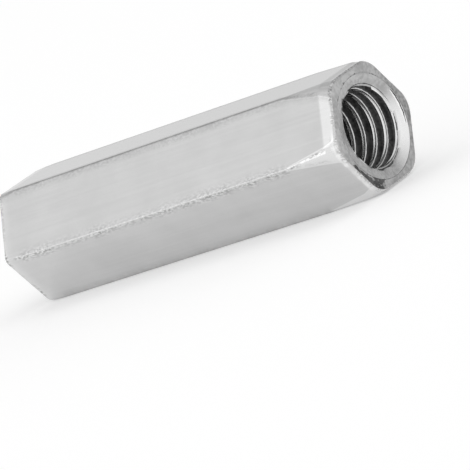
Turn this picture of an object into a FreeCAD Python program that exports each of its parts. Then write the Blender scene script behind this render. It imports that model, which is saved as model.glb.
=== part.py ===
import FreeCAD, Part
import Sketcher
import math
import os

# Coupling nut: a long hexagonal nut that joins two threaded rods end to end.
# It is one cold-formed piece of zinc-plated steel, threaded right through. It lies on one
# of its flats with the bore along X. The origin is on the floor under its middle.

doc = FreeCAD.newDocument("coupling_nut")

# Sizes in millimetres. The near end is the +X end, the far end is the -X end.
sheet = doc.addObject("Spreadsheet::Sheet", "dimensions")
sizes = [
    ("nut_length", "48", "end face to end face"),
    ("across_flats", "13", "wrench size of the hexagon"),
    ("corner_radius", "0.3", "rounding of the long corners of the bar"),
    ("near_taper_length", "7", "where the corners begin to fall away, from the near face"),
    ("near_corner_radius", "1.9", "rounding that the corners reach at the near bevel"),
    ("near_rim_corner_radius", "2.7", "rounding of the corners at the near end face"),
    ("near_bevel_drop", "0.2", "how far the near bevel falls below the flats at the end face"),
    ("near_rim_share", "0.43", "rounding of the near rim, as a share of that end face's width"),
    ("far_taper_length", "2.6", "where the corners begin to fall away, from the far face"),
    ("far_corner_radius", "0.7", "rounding that the corners reach at the far bevel"),
    ("far_rim_corner_radius", "0.9", "rounding of the corners at the far end face"),
    ("far_bevel_drop", "0.08", "how far the far bevel falls below the flats at the end face"),
    ("far_rim_share", "0.15", "rounding of the far rim, as a share of that end face's width"),
    ("bevel_length", "1.45", "length of the shallow bevel round each end"),
    ("thread_diameter", "10", "nominal size of the thread"),
    ("thread_pitch", "1.5", "coarse pitch, taken off the thread size to give the tapping bore"),
    ("mouth_diameter", "11.2", "countersink at each end face"),
    ("mouth_angle", "140", "included angle of the countersink"),
    ("mouth_radius", "0.1", "rounding where the countersink meets the end face"),
]
for row, (alias, value, meaning) in enumerate(sizes, start=1):
    sheet.set("A%d" % row, alias)
    sheet.set("B%d" % row, value)
    sheet.setAlias("B%d" % row, alias)
    sheet.set("C%d" % row, meaning)
doc.recompute()

body = doc.addObject("PartDesign::Body", "nut_body")
body.Label = "coupling_nut"


def origin_plane(role):
    """The plane of the body's own origin that has this role."""
    return next(item for item in body.Origin.OriginFeatures if item.Role == role)


def hexagon_section(name, station, flats, radius):
    """A hexagon with rounded corners across the bore, two of its flats level.

    The corner centres sit on a construction hexagon. Each flat runs tangent from one
    corner arc to the next, so the section follows its two sizes."""
    sketch = body.newObject("Sketcher::SketchObject", name)
    sketch.AttachmentSupport = (origin_plane("YZ_Plane"), "")
    sketch.MapMode = "FlatFace"
    sketch.setExpression(".AttachmentOffset.Base.z", station)
    normal = FreeCAD.Vector(0, 0, 1)
    half_flats = sheet.get("across_flats") / 2
    start_radius = sheet.get("corner_radius")
    reach = (half_flats - start_radius) / math.cos(math.radians(30))

    def polar(length, degrees):
        angle = math.radians(degrees)
        return FreeCAD.Vector(length * math.cos(angle), length * math.sin(angle), 0)

    centres = [polar(reach, 60 * corner) for corner in range(6)]
    arcs = []
    for corner, centre in enumerate(centres):
        circle = Part.Circle(centre, normal, start_radius)
        first = math.radians(60 * corner - 30)
        last = math.radians(60 * corner + 30)
        arcs.append(sketch.addGeometry(Part.ArcOfCircle(circle, first, last), False))
    edges = []
    for corner in range(6):
        outward = polar(start_radius, 60 * corner + 30)
        start = centres[corner] + outward
        end = centres[(corner + 1) % 6] + outward
        edges.append(sketch.addGeometry(Part.LineSegment(start, end), False))
    spokes = []
    for corner in range(6):
        spoke = Part.LineSegment(FreeCAD.Vector(0, 0, 0), centres[corner])
        spokes.append(sketch.addGeometry(spoke, True))

    for corner in range(6):
        following = (corner + 1) % 6
        sketch.addConstraint(Sketcher.Constraint("Tangent", arcs[corner], 2, edges[corner], 1))
        sketch.addConstraint(Sketcher.Constraint("Tangent", edges[corner], 2, arcs[following], 1))
        sketch.addConstraint(Sketcher.Constraint("Coincident", spokes[corner], 1, -1, 1))
        sketch.addConstraint(Sketcher.Constraint("Coincident", spokes[corner], 2, arcs[corner], 3))
    for corner in range(1, 6):
        sketch.addConstraint(Sketcher.Constraint("Equal", arcs[0], arcs[corner]))
        sketch.addConstraint(Sketcher.Constraint("Equal", spokes[0], spokes[corner]))
    sketch.addConstraint(Sketcher.Constraint("Horizontal", spokes[0]))
    for corner in (1, 2):
        turn = math.radians(60)
        sketch.addConstraint(
            Sketcher.Constraint("Angle", spokes[corner - 1], 1, spokes[corner], 1, turn))
    for corner in (3, 4, 5):
        sketch.addConstraint(Sketcher.Constraint("Parallel", spokes[corner - 3], spokes[corner]))
    across = sketch.addConstraint(
        Sketcher.Constraint("DistanceY", edges[4], 1, edges[1], 2, 2 * half_flats))
    sketch.renameConstraint(across, "flats")
    rounding = sketch.addConstraint(Sketcher.Constraint("Radius", arcs[0], start_radius))
    sketch.renameConstraint(rounding, "rounding")
    sketch.setExpression("Constraints.flats", flats)
    sketch.setExpression("Constraints.rounding", radius)
    return sketch


# The outside, from the far face to the near one. Between the tapers the bar is plain.
# In each taper the corners fall away, because the metal didn't fill the die there, and
# a shallow bevel leads to the end face.
bar_flats = "dimensions.across_flats"
near_rim_flats = "dimensions.across_flats - 2 * dimensions.near_bevel_drop"
far_rim_flats = "dimensions.across_flats - 2 * dimensions.far_bevel_drop"

far_rim = hexagon_section(
    "far_rim", "-dimensions.nut_length / 2",
    far_rim_flats, "dimensions.far_rim_corner_radius")
far_bevel_edge = hexagon_section(
    "far_bevel_edge", "-dimensions.nut_length / 2 + dimensions.bevel_length",
    bar_flats, "dimensions.far_corner_radius")
far_taper_edge = hexagon_section(
    "far_taper_edge", "-dimensions.nut_length / 2 + dimensions.far_taper_length",
    bar_flats, "dimensions.corner_radius")
near_taper_edge = hexagon_section(
    "near_taper_edge", "dimensions.nut_length / 2 - dimensions.near_taper_length",
    bar_flats, "dimensions.corner_radius")
near_bevel_edge = hexagon_section(
    "near_bevel_edge", "dimensions.nut_length / 2 - dimensions.bevel_length",
    bar_flats, "dimensions.near_corner_radius")
near_rim = hexagon_section(
    "near_rim", "dimensions.nut_length / 2",
    near_rim_flats, "dimensions.near_rim_corner_radius")

bar = body.newObject("PartDesign::Pad", "bar")
bar.Profile = far_taper_edge
bar.setExpression(
    "Length",
    "dimensions.nut_length - dimensions.far_taper_length - dimensions.near_taper_length")
bar.Refine = True


def formed_end(name, sections):
    """The tapered corners and the bevel of one end, straight from section to section."""
    loft = body.newObject("PartDesign::AdditiveLoft", name)
    loft.Profile = sections[0]
    loft.Sections = sections[1:]
    loft.Ruled = True
    loft.Refine = True
    return loft


formed_end("far_end", [far_taper_edge, far_bevel_edge, far_rim])
formed_end("near_end", [near_taper_edge, near_bevel_edge, near_rim])
doc.recompute()

# The bore, drilled right through at the tapping size. The thread is cut in it.
bore_circle = body.newObject("Sketcher::SketchObject", "bore_circle")
bore_circle.AttachmentSupport = (origin_plane("YZ_Plane"), "")
bore_circle.MapMode = "FlatFace"
bore_circle.setExpression(".AttachmentOffset.Base.z", "dimensions.nut_length / 2")
bore_edge = bore_circle.addGeometry(
    Part.Circle(FreeCAD.Vector(0, 0, 0), FreeCAD.Vector(0, 0, 1), 4), False)
bore_circle.addConstraint(Sketcher.Constraint("Coincident", bore_edge, 3, -1, 1))
bore_size = bore_circle.addConstraint(Sketcher.Constraint("Diameter", bore_edge, 8))
bore_circle.renameConstraint(bore_size, "bore")
bore_circle.setExpression(
    "Constraints.bore", "dimensions.thread_diameter - dimensions.thread_pitch")
doc.recompute()

bore = body.newObject("PartDesign::Hole", "bore")
bore.Profile = bore_circle
doc.recompute()
bore.Threaded = False
bore.ThreadType = "None"
bore.DepthType = "ThroughAll"
bore.HoleCutType = "Countersink"
bore.setExpression("Diameter", "dimensions.thread_diameter - dimensions.thread_pitch")
bore.setExpression("HoleCutDiameter", "dimensions.mouth_diameter")
bore.setExpression("HoleCutCountersinkAngle", "dimensions.mouth_angle")
doc.recompute()

# The far mouth is the near one seen from the other end.
far_mouth = body.newObject("PartDesign::Mirrored", "far_mouth")
far_mouth.Originals = [bore]
far_mouth.MirrorPlane = (origin_plane("YZ_Plane"), [""])
body.Tip = far_mouth
doc.recompute()

# Both end faces have a rounded outer rim and a rounded lip at the countersink.
def end_face_edges(shape, end, round_lips):
    """Names of the edges in one end face, 1 near or -1 far: the lip's circle, or the outer rim."""
    station = end * sheet.get("nut_length") / 2
    lip_length = math.pi * sheet.get("mouth_diameter")
    names = []
    for number, edge in enumerate(shape.Edges, start=1):
        box = edge.BoundBox
        in_end_face = box.XLength < 1e-6 and abs(box.XMin - station) < 1e-6
        is_lip = abs(edge.Length - lip_length) < 1e-3
        if in_end_face and is_lip == round_lips:
            names.append("Edge%d" % number)
    return names


def rounded(name, base, ends, round_lips, radius):
    """The base feature with the lips or the rims of these ends rounded."""
    names = []
    for end in ends:
        names += end_face_edges(base.Shape, end, round_lips)
    fillet = body.newObject("PartDesign::Fillet", name)
    fillet.Base = (base, names)
    fillet.setExpression("Radius", radius)
    body.Tip = fillet
    doc.recompute()
    return fillet


# The width of an end face is what the bevel and the countersink leave of it on a flat.
face_width = "((dimensions.across_flats - dimensions.mouth_diameter) / 2 - dimensions.%s_bevel_drop)"
lips = rounded("lips", far_mouth, (1, -1), True, "dimensions.mouth_radius")
near_edge = rounded(
    "near_edge", lips, (1,), False, "dimensions.near_rim_share * " + face_width % "near")
rounded("far_edge", near_edge, (-1,), False, "dimensions.far_rim_share * " + face_width % "far")

# The nut rests on its lower flat.
body.setExpression("Placement.Base.z", "dimensions.across_flats / 2")
doc.recompute()

failed = [item.Name for item in doc.Objects if {"Invalid", "Error"} & set(item.State)]
if failed:
    raise RuntimeError("not built: " + ", ".join(failed))
if body.Shape.isNull() or not body.Shape.isValid() or len(body.Shape.Solids) != 1:
    raise RuntimeError(body.Label + " is not one valid solid")

os.makedirs("parts", exist_ok=True)
body.Shape.exportStep("parts/" + body.Label + ".step")
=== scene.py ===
import math

import bmesh
import bpy
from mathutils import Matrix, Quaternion, Vector, noise


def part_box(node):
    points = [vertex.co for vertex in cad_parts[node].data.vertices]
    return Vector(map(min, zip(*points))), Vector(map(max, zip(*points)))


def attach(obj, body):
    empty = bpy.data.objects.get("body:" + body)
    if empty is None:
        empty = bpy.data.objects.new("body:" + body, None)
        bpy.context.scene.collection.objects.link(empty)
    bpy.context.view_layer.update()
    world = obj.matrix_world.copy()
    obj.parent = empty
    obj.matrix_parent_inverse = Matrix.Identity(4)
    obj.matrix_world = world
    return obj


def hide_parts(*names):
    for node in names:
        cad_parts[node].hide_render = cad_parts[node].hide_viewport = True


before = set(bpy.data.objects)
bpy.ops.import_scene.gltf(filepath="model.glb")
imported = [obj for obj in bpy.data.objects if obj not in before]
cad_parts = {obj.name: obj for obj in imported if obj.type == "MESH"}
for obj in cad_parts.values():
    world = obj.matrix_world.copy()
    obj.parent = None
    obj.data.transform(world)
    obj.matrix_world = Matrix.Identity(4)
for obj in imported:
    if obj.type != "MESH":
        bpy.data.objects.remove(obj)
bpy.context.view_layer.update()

# Coupling nut.
# One piece of hexagonal steel bar, cold formed, then drilled, countersunk at both ends and
# threaded right through, and zinc plated as a whole. It lies loose on one of its flats.
mm = 0.001
nut_low, nut_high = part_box("coupling_nut")
half_length = (nut_high.x - nut_low.x) / 2
half_flats = (nut_high.z - nut_low.z) / 2
bore_height = (nut_high.z + nut_low.z) / 2
corner_radius = 0.3 * mm
bevel_length = 1.45 * mm
mouth_radius = 5.6 * mm
half_cone_degrees = 70
lip_width = 0.017 * mm
lip_drop = 0.006 * mm
near_end = {
    "taper_length": 7 * mm, "bevel_corner": 1.9 * mm, "rim_corner": 2.7 * mm,
    "bevel_drop": 0.2 * mm, "rim_radius": 0.301 * mm}
far_end = {
    "taper_length": 2.6 * mm, "bevel_corner": 0.7 * mm, "rim_corner": 0.9 * mm,
    "bevel_drop": 0.08 * mm, "rim_radius": 0.123 * mm}

# The outside is made of rows round the bore, the same number of points in each. Angles and
# corners count from the back one, over the top to the front. No row lies on a bevel's inner
# edge, which leaves that edge soft.
side_degrees = 60
side_turn = math.radians(side_degrees)
half_side = math.radians(side_degrees / 2)
columns_per_side = 20
columns = 6 * columns_per_side
row_step = 0.3 * mm
corner_shares = (0, 0.3, 0.6, 0.85, 1)
corner_margin = math.radians(0.4)
flat_steps = 5
face_shares = (0, 0.22, 0.47, 0.72)
rim_steps = 5
bevel_shares = (0.15, 0.35, 0.55, 0.75, 0.92)
taper_start = 0.1


def between(value, least=0, most=1):
    """A value kept between two limits."""
    return min(most, max(least, value))


def from_corner(angle):
    """How far past the nearest corner an angle is."""
    return (angle + half_side) % side_turn - half_side


def nearest_corner(angle):
    """Number of the corner that is nearest to an angle, 0 to 5."""
    return round(math.degrees(angle) / side_degrees) % 6


def rounding_end(flats, rounding):
    """How far off a corner its rounding meets the flat."""
    return math.atan2(rounding / 2, (flats - rounding / 4) / math.cos(half_side))


def hexagon_reach(angle, flats, rounding):
    """Distance from the bore's line to a hexagon with rounded corners."""
    turn = abs(from_corner(angle))
    if turn > rounding_end(flats, rounding):
        return flats / math.cos(half_side - turn)
    centre = (flats - rounding) / math.cos(half_side)
    return centre * math.cos(turn) + math.sqrt(rounding ** 2 - (centre * math.sin(turn)) ** 2)


def row_angles(flats, rounding):
    """Angles of one row's points. The same columns follow the edges of the rounded corners."""
    edge = rounding_end(flats, rounding)
    flat_turn = half_side - edge - corner_margin
    offsets = [share * edge for share in corner_shares]
    for step in range(flat_steps + 1):
        offsets.append(edge + corner_margin + flat_turn * step / flat_steps)
    angles = []
    for column in range(columns):
        side, place = divmod(column, columns_per_side)
        if place < len(offsets):
            angles.append(math.radians(side_degrees * side) + offsets[place])
        else:
            next_corner = math.radians(side_degrees * side + side_degrees)
            angles.append(next_corner - offsets[columns_per_side - place])
    return angles


def end_stations(taper_length, bevel_corner, rim_corner, bevel_drop, rim_radius):
    """One end, from its face inward: depth below the face, half flats and corner rounding."""
    def bevel(depth):
        share = depth / bevel_length
        flats = half_flats - bevel_drop * (1 - share)
        return flats, rim_corner + (bevel_corner - rim_corner) * share

    sweep = math.pi / 2 - math.atan2(bevel_drop, bevel_length)
    centre_flats = half_flats - bevel_drop - rim_radius * math.tan(sweep / 2)
    stations = []
    for step in range(rim_steps + 1):
        depth = rim_radius * (1 - math.cos(sweep * step / rim_steps))
        flats = centre_flats + rim_radius * math.sin(sweep * step / rim_steps)
        bevel_flats, rounding = bevel(depth)
        stations.append((depth, flats, rounding - (bevel_flats - flats)))
    rim_end = stations[-1][0]
    for share in bevel_shares:
        depth = rim_end + (bevel_length - rim_end) * share
        stations.append((depth, *bevel(depth)))
    steps = round((taper_length - bevel_length) / row_step)
    for step in range(steps + 1):
        share = (step + taper_start) / (steps + taper_start)
        depth = bevel_length + (taper_length - bevel_length) * share
        rounding = bevel_corner + (corner_radius - bevel_corner) * share
        stations.append((depth, half_flats, rounding))
    return stations


bar_start = half_length - near_end["taper_length"]
bar_end = far_end["taper_length"] - half_length
bar_steps = round((bar_start - bar_end) / row_step)
stations = []
for depth, flats, rounding in end_stations(**near_end):
    stations.append((half_length - depth, flats, rounding))
for step in range(1, bar_steps):
    x = bar_start + (bar_end - bar_start) * step / bar_steps
    stations.append((x, half_flats, corner_radius))
for depth, flats, rounding in reversed(end_stations(**far_end)):
    stations.append((depth - half_length, flats, rounding))

# Forming leaves the metal rough along the six corners: here and there it falls short. A corner
# step keeps the six apart in the noise, and a seed, here and below, picks a part of it.
rough_reach = math.radians(1.5)
rough_depths = (0.005 * mm, 0.005 * mm, 0.006 * mm, 0.005 * mm, 0.006 * mm, 0.006 * mm)
rough_spacing = 0.35 * mm
rough_corner_step = 7.3
rough_turn_scale = 40
patch_spacing = 2.8 * mm
patch_corner_step = 3.7
patch_seed = 5.5
quiet_end = 1 * mm


def shortfall(x, angle):
    """How far the rough metal along a corner falls short of the true shape."""
    turn = abs(from_corner(angle))
    if turn > rough_reach or abs(x) > half_length - quiet_end:
        return 0
    corner = nearest_corner(angle)
    fine_place = (x / rough_spacing, corner * rough_corner_step, rough_turn_scale * turn)
    fine = noise.noise(Vector(fine_place))
    coarse = noise.noise(Vector((x / patch_spacing, corner * patch_corner_step, patch_seed)))
    return rough_depths[corner] * max(0, 2 * fine + coarse) * (1 - turn / rough_reach)


# Shearing and forming left a burr on two parts of the near rim: a rough one under the front
# corner, and a smoother one round the top and the back.
front_burr = {
    "first": math.radians(160), "last": math.radians(236),
    "depth": 0.38 * mm, "width": 0.32 * mm, "height": 0.09 * mm, "roughness": 0.8}
top_burr = {
    "first": math.radians(-5), "last": math.radians(118),
    "depth": 0.15 * mm, "width": 0.3 * mm, "height": 0.12 * mm, "roughness": 0.3}
burr_fade = math.radians(12)
burr_level = 0.7
burr_spacing = 0.6 * mm
burr_seed = 1.7


def burr(x, angle, first, last, depth, width, height, roughness):
    """How far a burr stands out from the near rim."""
    middle = (first + last) / 2
    off_middle = (angle - middle + math.pi) % math.tau - math.pi
    away = abs(half_length - depth - x) / width
    along = ((last - first) / 2 - abs(off_middle)) / burr_fade
    if away > 1 or along < 0:
        return 0
    wave = noise.noise(Vector((angle * half_flats / burr_spacing, burr_seed, 0)))
    return height * (burr_level + roughness * wave) * min(1, along) * (1 - away ** 2)


def outside_reach(x, angle, flats, rounding):
    """Distance from the bore's line to the outside, with its burrs and its rough corners."""
    reach = hexagon_reach(angle, flats, rounding) - shortfall(x, angle)
    return reach + burr(x, angle, **front_burr) + burr(x, angle, **top_burr)


points = []
point_angles = []


def ring(x, angles, reaches):
    """One closed row of points round the bore."""
    point_angles.extend(angles)
    for angle, reach in zip(angles, reaches):
        points.append((x, reach * math.cos(angle), bore_height + reach * math.sin(angle)))


def face_rings(end, shares):
    """The flat face of one end, 1 near or -1 far, as rows between the lip and the rim."""
    flats, rounding = stations[0 if end > 0 else -1][1:]
    lip = mouth_radius + lip_width
    for share in shares:
        angles = []
        for even, on_rim in zip(even_angles, row_angles(flats, rounding)):
            angles.append(even + (on_rim - even) * share)
        reaches = [lip + (hexagon_reach(angle, flats, rounding) - lip) * share for angle in angles]
        ring(end * half_length, angles, reaches)


even_angles = [math.tau * column / columns for column in range(columns)]
ring(half_length - lip_drop, even_angles, [mouth_radius - lip_width] * columns)
face_rings(1, face_shares)
for x, flats, rounding in stations:
    angles = row_angles(flats, rounding)
    ring(x, angles, [outside_reach(x, angle, flats, rounding) for angle in angles])
face_rings(-1, reversed(face_shares))
ring(lip_drop - half_length, even_angles, [mouth_radius - lip_width] * columns)

faces = []
for start in range(0, len(points) - columns, columns):
    beyond = start + columns
    for column in range(columns):
        following = (column + 1) % columns
        faces.append((start + column, start + following, beyond + following, beyond + column))

# On the back side of the near mouth the countersink bit raised a sliver, painted bright as a
# highlight, with a painted shadow beside it as a dark strip, and a finer dark line runs above the
# bore. Each is a thin closed strip of metal, sunk halfway into the cone and thin at both ends.
cone_slope = math.radians(90 - half_cone_degrees)
strip_steps = 40
strip_sides = 6
strip_tip = 0.02
strip_waviness = 0.6
strip_waves = 11
strip_seed = 4.2
# The sliver's bright colour is a painted highlight.
sliver = {
    "radius": 5.34 * mm, "first": math.radians(-19), "last": math.radians(23),
    "width": 0.1 * mm, "height": 0.06 * mm, "drift": 0.05 * mm, "bareness_and_light": -1}
# A painted shadow beside the sliver, as a dark strip.
sliver_shadow = {
    "radius": 5.47 * mm, "first": math.radians(-19), "last": math.radians(23),
    "width": 0.08 * mm, "height": 0.02 * mm, "drift": 0.05 * mm, "bareness_and_light": 1}
upper_dark_line = {
    "radius": 4.6 * mm, "first": math.radians(12), "last": math.radians(125),
    "width": 0.045 * mm, "height": 0.015 * mm, "drift": 0.06 * mm, "bareness_and_light": 1}
strip_bareness_and_light = []


def strip(radius, first, last, width, height, drift, bareness_and_light):
    """A thin strip along part of the near countersink."""
    first_point = len(points)
    for step in range(strip_steps + 1):
        share = step / strip_steps
        angle = first + (last - first) * share
        fullness = math.sin(math.pi * between(share, strip_tip, 1 - strip_tip)) ** 0.5
        wave = noise.noise(Vector((share * strip_waves, strip_seed, radius / mm)))
        fullness *= 1 + strip_waviness * wave
        centre = radius + drift * (2 * share - 1)
        depth = (mouth_radius - centre) * math.tan(cone_slope)
        for side in range(strip_sides):
            turn = math.tau * side / strip_sides
            outward = width * fullness * math.cos(turn)
            raised = height * fullness * math.sin(turn)
            x = half_length - depth + outward * math.sin(cone_slope) + raised * math.cos(cone_slope)
            reach = centre + outward * math.cos(cone_slope) - raised * math.sin(cone_slope)
            points.append((x, reach * math.cos(angle), bore_height + reach * math.sin(angle)))
            strip_bareness_and_light.append(bareness_and_light)
    for start in range(first_point, len(points) - strip_sides, strip_sides):
        beyond = start + strip_sides
        for side in range(strip_sides):
            following = (side + 1) % strip_sides
            faces.append((start + side, start + following, beyond + following, beyond + side))
    faces.append(tuple(range(first_point, first_point + strip_sides)))
    faces.append(tuple(range(len(points) - strip_sides, len(points))))


strip(**sliver)
strip(**sliver_shadow)
strip(**upper_dark_line)
nut_mesh = bpy.data.meshes.new("nut_outside")
nut_mesh.from_pydata(points, [], faces)
nut = bpy.data.objects.new("threaded_nut", nut_mesh)
bpy.context.scene.collection.objects.link(nut)

# What the finish needs to know of a place, in four attributes: how worn a corner or a rim is,
# how strong the highlight painted on the tapered corners and the far bevel is, how dull a
# sheared face is, with painted shade and a painted highlight on top of that, and how bare the
# metal is, with painted shade and, below 0, painted highlights. Lists of six follow the six
# corners.
touching = 0.02 * mm
corner_wear = (1, 1, 0.8, 1, 0.1, 1)
wear_reach = 0.19 * mm
other_edge_wear = 0.45
wear_level = 0.8
least_wear = 0.5
wear_spacing = 1.6 * mm
wear_seed = 2.5
rim_depth = 0.32 * mm
rim_wear = 1.1
rim_level = 0.4
rim_spacing = 0.8 * mm
# How strong the highlight painted on each tapered corner is, and along the far bevel.
facet_highlight = (0.5, 0.5, 0.6, 0.5, 0.6, 0.5)
far_bevel_highlight = 0.35
# How strong the dark reflection painted along each corner is, and how far it reaches.
painted_dark_corner = (0, 0.5, 0.6, 0, 0.6, 0)
dark_corner_reach = 0.34 * mm
face_dullness = 0.72
# Shade is painted towards the back of the end faces, and a highlight at their top.
back_painted_shade = 0.38
top_painted_highlight = 0.1
torn_first = math.radians(195)
torn_last = math.radians(252)
torn_bareness = 0.68
torn_fade = math.radians(7)
torn_width = 0.25 * mm
lip_darkness = 0.58
low_lip_darkness = 0.2
upper_darkness = 0.66
upper_reach = 0.6 * mm
corner_distance = half_flats / math.cos(half_side)
bar_edge = rounding_end(half_flats, corner_radius)
first_row = columns * (1 + len(face_shares))
traits = {"corner_wear": [], "painted_facet_highlight": [], "sheared_and_painted_shade": [], "bareness_and_painted_light": []}
for index, angle in enumerate(point_angles):
    point = Vector(points[index])
    x = point.x
    below_face = half_length - abs(x)
    station = (index - first_row) // columns
    on_outside = 0 <= station < len(stations)
    on_face = not on_outside or below_face < touching
    flats, rounding = stations[station][1:] if on_outside else (half_flats, corner_radius)
    edge = rounding_end(flats, rounding)
    corner = nearest_corner(angle)

    # Of the two edges of a rounded corner, one is worn. Along the bar it is the other one.
    worn_edge = (edge - 2 * bar_edge) * (-1) ** corner
    distance = abs(from_corner(angle) - worn_edge) * corner_distance
    other_distance = abs(from_corner(angle) + worn_edge) * corner_distance
    wear = max(1 - distance / wear_reach, other_edge_wear * (1 - other_distance / wear_reach), 0)
    wear *= corner_wear[corner]
    wear *= between(below_face / quiet_end - 1)
    patch = noise.noise(Vector((x / wear_spacing, corner, wear_seed)))
    wear *= between(wear_level + patch, least_wear)
    # The burr is painted bright, a painted highlight, and is kept free of speckle.
    painted_highlight = min(1, burr(x, angle, **front_burr) / front_burr["height"])
    if not on_face and below_face < rim_depth:
        patch = max(0, rim_level + noise.noise(point / rim_spacing))
        wear = min(1, rim_wear * (1 - painted_highlight) * patch)
    traits["corner_wear"].append(wear)

    # A highlight is painted on the rounded corners of the near taper, and along the far bevel,
    # growing towards its face.
    facet_highlight_share = 0
    in_rounding = abs(from_corner(angle)) < edge + corner_margin / 2
    if rounding > corner_radius and in_rounding and x > 0:
        facet_highlight_share = facet_highlight[corner]
    elif x < 0 and on_outside:
        facet_highlight_share = far_bevel_highlight * max(0, 1 - below_face / bevel_length)
    traits["painted_facet_highlight"].append(facet_highlight_share)

    # Along some corners a dark reflection is painted instead, in dull grey, along the bar and down
    # one edge of the taper.
    dark_corner_distance = abs(from_corner(angle) - edge + bar_edge) * corner_distance
    dullness_and_painted_shade = painted_dark_corner[corner] * max(0, 1 - dark_corner_distance / dark_corner_reach)
    upper_part = max(0, math.sin(angle))
    # The faces are sheared and dull, and on top of that shade is painted towards their back and a
    # highlight at their top.
    if on_face:
        dullness_and_painted_shade = face_dullness + back_painted_shade * max(0, math.cos(angle)) ** 2
        dullness_and_painted_shade -= top_painted_highlight * upper_part
    traits["sheared_and_painted_shade"].append(dullness_and_painted_shade)

    # The burr on the near face has a painted highlight. The face is half bare where it is torn
    # beside the burr, and darker along the lip of the countersink, more so below, and towards that
    # lip in its upper part.
    bareness_and_light = -painted_highlight
    if on_face and x > 0:
        out_of_lip = Vector((point.y, point.z - bore_height)).length - mouth_radius
        torn = between(min(angle - torn_first, torn_last - angle) / torn_fade)
        torn *= torn_bareness * between(out_of_lip / torn_width)
        upper = upper_darkness * upper_part * max(0, 1 - out_of_lip / upper_reach)
        bareness_and_light = max(torn, upper)
        if abs(out_of_lip) < touching:
            bareness_and_light = max(bareness_and_light, lip_darkness + low_lip_darkness * max(0, -math.sin(angle)))
    traits["bareness_and_painted_light"].append(bareness_and_light)
for name, values in traits.items():
    values += strip_bareness_and_light if name == "bareness_and_painted_light" else [0] * len(strip_bareness_and_light)
    nut_mesh.attributes.new(name, "FLOAT", "POINT").data.foreach_set("value", values)


# Bright zinc plate over steel: a thin even coat with a soft metal shine. It keeps the fine
# lengthwise lines of the drawn bar and looks cloudy close up. Shade and highlights are painted into
# the thread and onto a few marks.
def linear(code):
    """An sRGB hex colour as linear light."""
    parts = [int(code[place:place + 2], 16) / 255 for place in (1, 3, 5)]
    lit = [part / 12.92 if part <= 0.04045 else ((part + 0.055) / 1.055) ** 2.4 for part in parts]
    return lit + [1]


def add_node(tree, kind, settings=None, inputs=None, output=0):
    """Adds a node with its settings. An input is a value, or the socket that feeds it."""
    node = tree.nodes.new(kind)
    for name, value in (settings or {}).items():
        setattr(node, name, value)
    for name, value in (inputs or {}).items():
        if isinstance(value, bpy.types.NodeSocket):
            tree.links.new(value, node.inputs[name])
        else:
            node.inputs[name].default_value = value
    return node.outputs[output] if node.outputs else node


# Settings that many nodes share. A mix of colours takes them at its sockets 6 and 7, by the
# share at 0, and gives the result at 2.
mix_colours = {"data_type": "RGBA"}
add = {"operation": "ADD"}
add_up_to_1 = {"operation": "ADD", "use_clamp": True}
subtract = {"operation": "SUBTRACT"}
multiply = {"operation": "MULTIPLY"}
multiply_add = {"operation": "MULTIPLY_ADD"}

zinc = bpy.data.materials.new("bright_zinc_plated_steel")
zinc.use_nodes = True
tree = zinc.node_tree
tree.nodes.clear()
place = add_node(tree, "ShaderNodeTexCoord", output="Object")

# Drawing lines are about 0.4 mm wide and 20 mm long, clouds in the coat about 4 mm across.
line_scale = (0.05 / mm, 2.5 / mm, 2.5 / mm)
cloud_scale = 0.26 / mm
line_strength = 0.45
cloud_strength = 0.55
lines_place = add_node(tree, "ShaderNodeMapping", inputs={"Vector": place, "Scale": line_scale})
lines = add_node(tree, "ShaderNodeTexNoise", inputs={
    "Vector": lines_place, "Scale": 1, "Detail": 4, "Roughness": 0.6})
clouds = add_node(tree, "ShaderNodeTexNoise", inputs={
    "Vector": place, "Scale": cloud_scale, "Detail": 3})
tone = add_node(tree, "ShaderNodeMath", multiply, {0: lines, 1: line_strength})
tone = add_node(tree, "ShaderNodeMath", multiply_add, {0: clouds, 1: cloud_strength, 2: tone})
tone_share = add_node(tree, "ShaderNodeMapRange", inputs={
    "Value": tone, "From Min": 0.35, "From Max": 0.65})
plate = add_node(tree, "ShaderNodeMix", mix_colours, {
    0: tone_share, 6: linear("#CBCBCB"), 7: linear("#D2D2D2")}, 2)

# A highlight is painted on the tapered corners and along the far bevel, brighter, with a clear
# edge.
facet_highlight_part = add_node(tree, "ShaderNodeAttribute", {"attribute_name": "painted_facet_highlight"}, output="Fac")
plate = add_node(tree, "ShaderNodeMix", mix_colours, {
    0: facet_highlight_part, 6: plate, 7: linear("#EFEFEF")}, 2)

# Along the worn corners and rims the coat is speckled, with grains about 0.4 by 0.2 mm.
grain_scale = (2.6 / mm, 5 / mm, 5 / mm)
grains_place = add_node(tree, "ShaderNodeMapping", inputs={"Vector": place, "Scale": grain_scale})
grains = add_node(tree, "ShaderNodeTexNoise", inputs={
    "Vector": grains_place, "Scale": 1, "Detail": 2})
grain_share = add_node(tree, "ShaderNodeMapRange", inputs={
    "Value": grains, "From Min": 0.4, "From Max": 0.62})
speckled = add_node(tree, "ShaderNodeMix", mix_colours, {
    0: grain_share, 6: linear("#949494"), 7: linear("#E6E6E6")}, 2)
worn_part = add_node(tree, "ShaderNodeAttribute", {"attribute_name": "corner_wear"}, output="Fac")
plate = add_node(tree, "ShaderNodeMix", mix_colours, {0: worn_part, 6: plate, 7: speckled}, 2)

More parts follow.
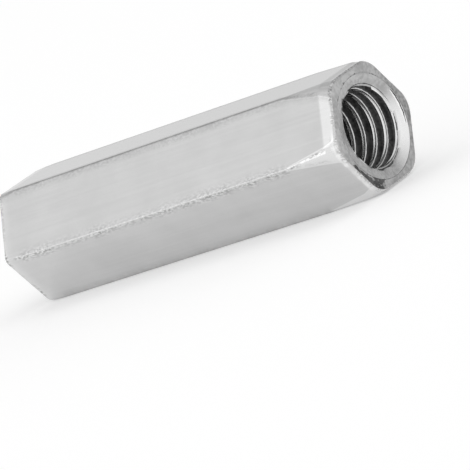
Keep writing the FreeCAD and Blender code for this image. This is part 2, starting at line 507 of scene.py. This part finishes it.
# The end faces were sheared: they are duller than the flats, with tears of about 0.35 mm and
# stains of about 1.5 mm. The same dull grey is painted as shade along some corners, towards
# the back of the faces and on most of the countersinks.
tear_scale = 2.8 / mm
stain_scale = 0.7 / mm
tears = add_node(tree, "ShaderNodeTexNoise", inputs={
    "Vector": place, "Scale": tear_scale, "Detail": 4})
stains = add_node(tree, "ShaderNodeTexNoise", inputs={
    "Vector": place, "Scale": stain_scale, "Detail": 2})
mottle = add_node(tree, "ShaderNodeMath", add, {0: tears, 1: stains})
mottle_share = add_node(tree, "ShaderNodeMapRange", inputs={
    "Value": mottle, "From Min": 0.8, "From Max": 1.2})
sheared_and_shade_grey = add_node(tree, "ShaderNodeMix", mix_colours, {
    0: mottle_share, 6: linear("#7C7C7C"), 7: linear("#AAAAAA")}, 2)
dull_and_shade_part = add_node(tree, "ShaderNodeAttribute", {"attribute_name": "sheared_and_painted_shade"}, output="Fac")
plate = add_node(tree, "ShaderNodeMix", mix_colours, {0: dull_and_shade_part, 6: plate, 7: sheared_and_shade_grey}, 2)

# In the groove of the thread shade is painted: a dark, dull, mottled coat with a ragged edge,
# also used for the torn face and a few dark lines. Where the attribute is below 0, on the edge
# of each crest and on other marks, a highlight is painted in near white.
bare_and_light = add_node(tree, "ShaderNodeAttribute", {"attribute_name": "bareness_and_painted_light"}, output="Fac")
ragged = add_node(tree, "ShaderNodeMath", add, {0: bare_and_light, 1: tears})
bare_and_shade_part = add_node(tree, "ShaderNodeMapRange", inputs={
    "Value": ragged, "From Min": 1.0, "From Max": 1.12})
painted_highlight_part = add_node(tree, "ShaderNodeMath", {
    "operation": "MULTIPLY", "use_clamp": True}, {0: bare_and_light, 1: -1.0})
thin_coat_and_shade = add_node(tree, "ShaderNodeMix", mix_colours, {
    0: mottle_share, 6: linear("#4A4A4A"), 7: linear("#6E6E6E")}, 2)
plate = add_node(tree, "ShaderNodeMix", mix_colours, {0: bare_and_shade_part, 6: plate, 7: thin_coat_and_shade}, 2)
plate = add_node(tree, "ShaderNodeMix", mix_colours, {
    0: painted_highlight_part, 6: plate, 7: linear("#F6F6F6")}, 2)

# The plate is smooth. Sheared metal, and painted shade and highlights, scatter the light more.
tear_relief = 8
roughness = add_node(tree, "ShaderNodeMapRange", inputs={
    "Value": tone, "From Min": 0.3, "From Max": 0.7, "To Min": 0.13, "To Max": 0.2})
for part, added in ((dull_and_shade_part, 0.2), (bare_and_shade_part, 0.35), (painted_highlight_part, 0.06)):
    roughness = add_node(tree, "ShaderNodeMath", multiply_add, {0: part, 1: added, 2: roughness})
relief = add_node(tree, "ShaderNodeMath", multiply, {0: tears, 1: dull_and_shade_part})
relief = add_node(tree, "ShaderNodeMath", multiply_add, {0: relief, 1: tear_relief, 2: tone})
bump = add_node(tree, "ShaderNodeBump", inputs={
    "Strength": 0.04, "Distance": 0.03 * mm, "Height": relief})
shine = add_node(tree, "ShaderNodeBsdfPrincipled", inputs={
    "Base Color": plate, "Metallic": 1, "Roughness": roughness, "Normal": bump})
add_node(tree, "ShaderNodeOutputMaterial", inputs={"Surface": shine})

# The wall of the bore is an M10 right-hand thread with 60 degree flanks. Its crests are where
# the drill left them, each with the shallow seam of a form tap, and at each end it runs out
# in a wide shallow countersink. The near crest is placed where it meets the bore's back line.
pitch = 1.5 * mm
bore_radius = 4.25 * mm
cone_mouth = mouth_radius - lip_width
countersink_depth = (cone_mouth - bore_radius) / math.tan(math.radians(half_cone_degrees))
near_crest = 23.361 * mm
pitches_back = 33
rows_per_turn = 14
turns = 35
snap_share = 0.55
thread_sizes = {
    "Half Length": half_length - lip_drop,
    "Bore Height": bore_height,
    "Bore Radius": bore_radius,
    "Thread Depth": 0.76 * mm,
    "Pitch": pitch,
    "First Crest": near_crest - pitches_back * pitch,
    "Run-out Start": 0.24 * mm,
    "Run-out End": 0.58 * mm,
    "Front Run-out Start": countersink_depth,
    "Front Run-out End": 1.0 * mm,
    "Shade Width": 0.34 * mm,
    "High Shade Width": 1.0 * mm,
    "Mouth Radius": cone_mouth,
    "Countersink Depth": countersink_depth,
    "Shade Start": countersink_depth - 0.01 * mm,
    "Snap": snap_share * pitch / rows_per_turn,
    "Rows per Turn": rows_per_turn,
    "Rows": rows_per_turn * turns + 1,
    "Columns": columns + 1,
}
thread = bpy.data.node_groups.new("tapped_thread", "GeometryNodeTree")
sockets = thread.interface
sockets.new_socket("Outside", in_out="INPUT", socket_type="NodeSocketGeometry")
identifiers = {}
for name, value in thread_sizes.items():
    kind = "NodeSocketInt" if isinstance(value, int) else "NodeSocketFloat"
    identifiers[name] = sockets.new_socket(name, in_out="INPUT", socket_type=kind).identifier
plating = sockets.new_socket("Plating", in_out="INPUT", socket_type="NodeSocketMaterial")
sockets.new_socket("Nut", in_out="OUTPUT", socket_type="NodeSocketGeometry")
size = add_node(thread, "NodeGroupInput").node.outputs

# A sheet of rows and columns is rolled up: a row follows the helix, and moves on by one pitch
# in one turn, and the last column closes the turn.
sheet = add_node(thread, "GeometryNodeMeshGrid", inputs={
    "Size X": 1, "Size Y": 1, "Vertices X": size["Rows"], "Vertices Y": size["Columns"]})
number = add_node(thread, "GeometryNodeInputIndex")
row = add_node(thread, "ShaderNodeMath", {"operation": "DIVIDE"}, {0: number, 1: size["Columns"]})
row = add_node(thread, "ShaderNodeMath", {"operation": "FLOOR"}, {0: row})
column = add_node(thread, "ShaderNodeMath", {"operation": "MODULO"}, {
    0: number, 1: size["Columns"]})
angle = add_node(thread, "ShaderNodeMath", multiply, {0: column, 1: math.tau / columns})
turn = add_node(thread, "ShaderNodeMath", {"operation": "DIVIDE"}, {
    0: row, 1: size["Rows per Turn"]})
advance = add_node(thread, "ShaderNodeMath", multiply_add, {0: angle, 1: 1 / math.tau, 2: turn})
along = add_node(thread, "ShaderNodeMath", multiply_add, {
    0: advance, 1: size["Pitch"], 2: size["First Crest"]})
far_lip = add_node(thread, "ShaderNodeMath", multiply, {0: size["Half Length"], 1: -1.0})
along = add_node(thread, "ShaderNodeClamp", inputs={
    "Value": along, "Min": far_lip, "Max": size["Half Length"]})
off_middle = add_node(thread, "ShaderNodeMath", {"operation": "ABSOLUTE"}, {0: along})
below_face = add_node(thread, "ShaderNodeMath", subtract, {0: size["Half Length"], 1: off_middle})

# Points next to the bottom of a countersink move onto its circle, so that its edge is clean.
off_circle = add_node(thread, "ShaderNodeMath", subtract, {
    0: below_face, 1: size["Countersink Depth"]})
close = add_node(thread, "ShaderNodeMath", {"operation": "COMPARE"}, {
    0: off_circle, 1: 0.0, 2: size["Snap"]})
move = add_node(thread, "ShaderNodeMath", multiply, {0: off_circle, 1: close})
below_face = add_node(thread, "ShaderNodeMath", subtract, {0: below_face, 1: move})
end = add_node(thread, "ShaderNodeMath", {"operation": "SIGN"}, {0: along})
along = add_node(thread, "ShaderNodeMath", multiply_add, {0: move, 1: end, 2: along})

# Across one pitch, from the deep edge of a crest: the crest with its seam, a flank, the root
# and the other flank. The first curve is the depth of the groove, the second the painted tone,
# with a highlight painted on the crest's edges and shade painted in the groove.
# The nudge keeps the first row of a turn on the crest.
nudge = 0.0001
groove_depths = (0, 0.1, 0.17, 0.1, 0.3, 0.53, 0.76, 0.96, 1, 1, 0.96, 0.75, 0.5, 0.25, 0)
groove_shades = (0, 0.25, 0.9, 0.5, 1, 1, 1, 1, 1, 1, 1, 1, 1, 1, 0.9)
across = add_node(thread, "ShaderNodeMath", add, {0: turn, 1: nudge})
across = add_node(thread, "ShaderNodeMath", {"operation": "FRACT"}, {0: across})
groove = add_node(thread, "ShaderNodeFloatCurve", inputs={"Value": across})
bareness_and_light = add_node(thread, "ShaderNodeFloatCurve", inputs={"Value": across})
for curve_node, values in ((groove.node, groove_depths), (bareness_and_light.node, groove_shades)):
    curve = curve_node.mapping.curves[0]
    curve.points[0].location = (0, values[0])
    curve.points[1].location = (1, values[-1])
    for step in range(1, len(values) - 1):
        curve.points.new(step / (len(values) - 1), values[step])
    for point in curve.points:
        point.handle_type = "VECTOR"
    curve_node.mapping.update()

# On the front side the groove runs out below the countersink. Elsewhere it breaks out into it.
# The one passes into the other between two cosines of the angle.
front_cosine = -0.8
beside_cosine = -0.45
sine = add_node(thread, "ShaderNodeMath", {"operation": "SINE"}, {0: angle})
cosine = add_node(thread, "ShaderNodeMath", {"operation": "COSINE"}, {0: angle})
run_out_start = add_node(thread, "ShaderNodeMapRange", inputs={
    "Value": cosine, "From Min": front_cosine, "From Max": beside_cosine,
    "To Min": size["Front Run-out Start"], "To Max": size["Run-out Start"]})
run_out_end = add_node(thread, "ShaderNodeMapRange", inputs={
    "Value": cosine, "From Min": front_cosine, "From Max": beside_cosine,
    "To Min": size["Front Run-out End"], "To Max": size["Run-out End"]})
fullness = add_node(thread, "ShaderNodeMapRange", inputs={
    "Value": below_face, "From Min": run_out_start, "From Max": run_out_end})
groove = add_node(thread, "ShaderNodeMath", multiply, {0: groove, 1: fullness})
thread_reach = add_node(thread, "ShaderNodeMath", multiply_add, {
    0: groove, 1: size["Thread Depth"], 2: size["Bore Radius"]})
cone_reach = add_node(thread, "ShaderNodeMapRange", inputs={
    "Value": below_face, "From Min": 0, "From Max": size["Countersink Depth"],
    "To Min": size["Mouth Radius"], "To Max": size["Bore Radius"]})
reach = add_node(thread, "ShaderNodeMath", {"operation": "MAXIMUM"}, {
    0: thread_reach, 1: cone_reach})
spoke_y = add_node(thread, "ShaderNodeMath", multiply, {0: reach, 1: cosine})
spoke_z = add_node(thread, "ShaderNodeMath", multiply_add, {
    0: reach, 1: sine, 2: size["Bore Height"]})
wall = add_node(thread, "ShaderNodeCombineXYZ", inputs={"X": along, "Y": spoke_y, "Z": spoke_z})

# The painted tone runs from -1, a painted highlight, to 1, painted shade. It is held back where
# the groove starts, and over a longer way at the top, so the groove is dark only from a little
# way below the bright edge.
bareness_and_light = add_node(thread, "ShaderNodeMath", multiply_add, {0: bareness_and_light, 1: 2.0, 2: -1.0})
shade_width = add_node(thread, "ShaderNodeMapRange", inputs={
    "Value": sine, "From Min": 0.4, "From Max": 0.9,
    "To Min": size["Shade Width"], "To Max": size["High Shade Width"]})
shade_end = add_node(thread, "ShaderNodeMath", add, {0: run_out_start, 1: shade_width})
darkest = add_node(thread, "ShaderNodeMapRange", inputs={
    "Value": below_face, "From Min": run_out_start, "From Max": shade_end,
    "To Min": -0.2, "To Max": 1.2})
bareness_and_light = add_node(thread, "ShaderNodeMath", {"operation": "MINIMUM"}, {
    0: bareness_and_light, 1: darkest})
below_cone = add_node(thread, "ShaderNodeMath", {"operation": "GREATER_THAN"}, {
    0: below_face, 1: size["Shade Start"]})
in_groove = add_node(thread, "ShaderNodeMath", {"operation": "GREATER_THAN"}, {
    0: thread_reach, 1: cone_reach})
in_thread = add_node(thread, "ShaderNodeMath", {"operation": "MAXIMUM"}, {
    0: below_cone, 1: in_groove})
bareness_and_light = add_node(thread, "ShaderNodeMath", multiply, {0: bareness_and_light, 1: in_thread})

# On the countersink a highlight is painted low on its back side, and elsewhere painted shade
# makes it nearly as dull as the end face. At the top the painted shade reaches into the bore.
bright_side_turn = 0.48
on_cone = add_node(thread, "ShaderNodeMath", subtract, {0: 1.0, 1: in_thread})
off_bright_side = add_node(thread, "ShaderNodeMath", add, {0: angle, 1: bright_side_turn})
bright_side = add_node(thread, "ShaderNodeMath", {"operation": "COSINE"}, {0: off_bright_side})
dullness_and_painted_shade = add_node(thread, "ShaderNodeMapRange", inputs={
    "Value": bright_side, "From Min": 0.5, "From Max": 0.95, "To Min": 0.6, "To Max": 0})
painted_shade_end = add_node(thread, "ShaderNodeMapRange", inputs={
    "Value": sine, "From Min": 0.2, "From Max": 0.7,
    "To Min": size["Shade Start"], "To Max": size["High Shade Width"]})
above_end = add_node(thread, "ShaderNodeMath", {"operation": "LESS_THAN"}, {
    0: below_face, 1: painted_shade_end})
dullness_and_painted_shade = add_node(thread, "ShaderNodeMath", multiply, {0: dullness_and_painted_shade, 1: above_end})
painted_highlight = add_node(thread, "ShaderNodeMapRange", inputs={
    "Value": bright_side, "From Min": 0.6, "From Max": 1, "To Min": 0, "To Max": -0.7})
bareness_and_light = add_node(thread, "ShaderNodeMath", multiply_add, {
    0: painted_highlight, 1: on_cone, 2: bareness_and_light})

# The two attributes go onto the sheet, which is then rolled up and welded to the outside.
on_points = {"data_type": "FLOAT", "domain": "POINT"}
weld_distance = 0.0005 * mm
marked = add_node(thread, "GeometryNodeStoreNamedAttribute", on_points, {
    "Geometry": sheet, "Name": "bareness_and_painted_light", "Value": bareness_and_light})
marked = add_node(thread, "GeometryNodeStoreNamedAttribute", on_points, {
    "Geometry": marked, "Name": "sheared_and_painted_shade", "Value": dullness_and_painted_shade})
rolled = add_node(thread, "GeometryNodeSetPosition", inputs={"Geometry": marked, "Position": wall})
joined = add_node(thread, "GeometryNodeJoinGeometry", inputs={0: size["Outside"]})
thread.links.new(rolled, joined.node.inputs[0])
welded = add_node(thread, "GeometryNodeMergeByDistance", inputs={
    "Geometry": joined, "Distance": weld_distance})
whole = add_node(thread, "GeometryNodeRealizeInstances", inputs={"Geometry": welded})
plated = add_node(thread, "GeometryNodeSetMaterial", inputs={
    "Geometry": whole, "Material": size["Plating"]})
add_node(thread, "NodeGroupOutput", inputs={"Nut": plated})

tap = nut.modifiers.new("tapped_thread", "NODES")
tap.node_group = thread
for name, value in thread_sizes.items():
    tap[identifiers[name]] = value
tap[plating.identifier] = zinc
evaluated = nut.evaluated_get(bpy.context.evaluated_depsgraph_get())
nut_mesh = bpy.data.meshes.new_from_object(evaluated)
nut.modifiers.remove(tap)
nut.data = nut_mesh

# Corners sharper than this between two faces stay crisp, and the rest is smooth.
crisp_angle = math.radians(40)
least_edge = 0.0002 * mm
shell = bmesh.new()
shell.from_mesh(nut_mesh)
bmesh.ops.dissolve_degenerate(shell, edges=shell.edges, dist=least_edge)
bmesh.ops.recalc_face_normals(shell, faces=shell.faces)
for face in shell.faces:
    face.smooth = True
for edge in shell.edges:
    edge.smooth = edge.is_manifold and edge.calc_face_angle() < crisp_angle
shell.to_mesh(nut_mesh)
shell.free()

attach(nut, "root")
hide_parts("coupling_nut")


# Floor.
# A plain white table of matt paper, even and without shine, under the nut and far past it.
# Seen straight or mirrored it is a little brighter than the light it gives to other things.
def direct_sight(tree):
    """1 where the camera sees a thing straight, mirrored or through glass, or else 0."""
    seen = add_node(tree, "ShaderNodeLightPath", output="Is Camera Ray")
    rays = seen.node.outputs
    shown = add_node(tree, "ShaderNodeMath", add_up_to_1, {0: seen, 1: rays["Is Glossy Ray"]})
    return add_node(tree, "ShaderNodeMath", add_up_to_1, {
        0: shown, 1: rays["Is Transmission Ray"]})


floor_corners = [(-3, -3, 0), (3, -3, 0), (3, 3, 0), (-3, 3, 0)]
floor_mesh = bpy.data.meshes.new("floor")
floor_mesh.from_pydata(floor_corners, [], [(0, 1, 2, 3)])
floor = bpy.data.objects.new("floor", floor_mesh)
bpy.context.scene.collection.objects.link(floor)
paper = bpy.data.materials.new("white_paper")
paper.use_nodes = True
tree = paper.node_tree
tree.nodes.clear()
matt = add_node(tree, "ShaderNodeBsdfDiffuse", inputs={"Color": linear("#E8E8E8")})
glow = add_node(tree, "ShaderNodeEmission", inputs={"Color": linear("#FFFFFF"), "Strength": 0.27})
lifted = add_node(tree, "ShaderNodeAddShader", inputs={0: matt, 1: glow})
blend = add_node(tree, "ShaderNodeMixShader", inputs={0: direct_sight(tree), 1: matt, 2: lifted})
add_node(tree, "ShaderNodeOutputMaterial", inputs={"Surface": blend})
floor_mesh.materials.append(paper)

# Light.
# A white tent round the table, with a soft box above on the left, a low one beneath it and a
# larger one overhead. Seen straight or mirrored the tent is greyer above and behind.
upper_back = (0, 0.5, 0.87)
world = bpy.data.worlds.new("white_tent")
bpy.context.scene.world = world
world.use_nodes = True
tree = world.node_tree
tree.nodes.clear()
lighting = add_node(tree, "ShaderNodeBackground", inputs={
    "Color": linear("#FFFFFF"), "Strength": 0.85})
direction = add_node(tree, "ShaderNodeTexCoord", output="Generated")
backward = add_node(tree, "ShaderNodeVectorMath", {"operation": "DOT_PRODUCT"}, {
    0: direction, 1: upper_back}, "Value")
greyness = add_node(tree, "ShaderNodeMapRange", inputs={
    "Value": backward, "From Min": 0.3, "From Max": 0.9})
tent = add_node(tree, "ShaderNodeMix", mix_colours, {
    0: greyness, 6: linear("#FFFFFF"), 7: linear("#BEBEBE")}, 2)
background = add_node(tree, "ShaderNodeBackground", inputs={"Color": tent, "Strength": 1})
blend = add_node(tree, "ShaderNodeMixShader", inputs={
    0: direct_sight(tree), 1: lighting, 2: background})
add_node(tree, "ShaderNodeOutputWorld", inputs={"Surface": blend})

for name, spot, width, depth, energy in (
        ("left_soft_box", (-0.30, -0.58, 0.58), 0.36, 0.36, 0.14),
        ("low_soft_box", (-0.45, -0.62, 0.16), 0.4, 0.2, 0.11),
        ("top_soft_box", (0.15, 0.2, 0.9), 0.7, 0.7, 0.4)):
    lamp_data = bpy.data.lights.new(name, "AREA")
    lamp_data.shape = "RECTANGLE"
    lamp_data.size = width
    lamp_data.size_y = depth
    lamp_data.energy = energy
    lamp = bpy.data.objects.new(name, lamp_data)
    lamp.location = spot
    lamp.rotation_euler = (-lamp.location).to_track_quat("-Z", "Y").to_euler()
    bpy.context.scene.collection.objects.link(lamp)

# Camera.
# A long lens low over the table, turned on its own line of sight as the photograph shows.
camera_data = bpy.data.cameras.new("camera")
camera_data.sensor_width = 36
camera_data.lens = 357.89
camera_data.clip_start = 0.01
camera_data.clip_end = 20
camera = bpy.data.objects.new("camera", camera_data)
camera.location = (0.31795, -0.37040, 0.07997)
aim = Vector((0.001899, -0.001330, 0.000334))
roll = math.radians(-25.62)
level = (aim - camera.location).to_track_quat("-Z", "Y")
camera.rotation_mode = "QUATERNION"
camera.rotation_quaternion = level @ Quaternion((0, 0, 1), roll)
bpy.context.scene.collection.objects.link(camera)
bpy.context.scene.camera = camera
bpy.context.scene.view_settings.view_transform = "Standard"
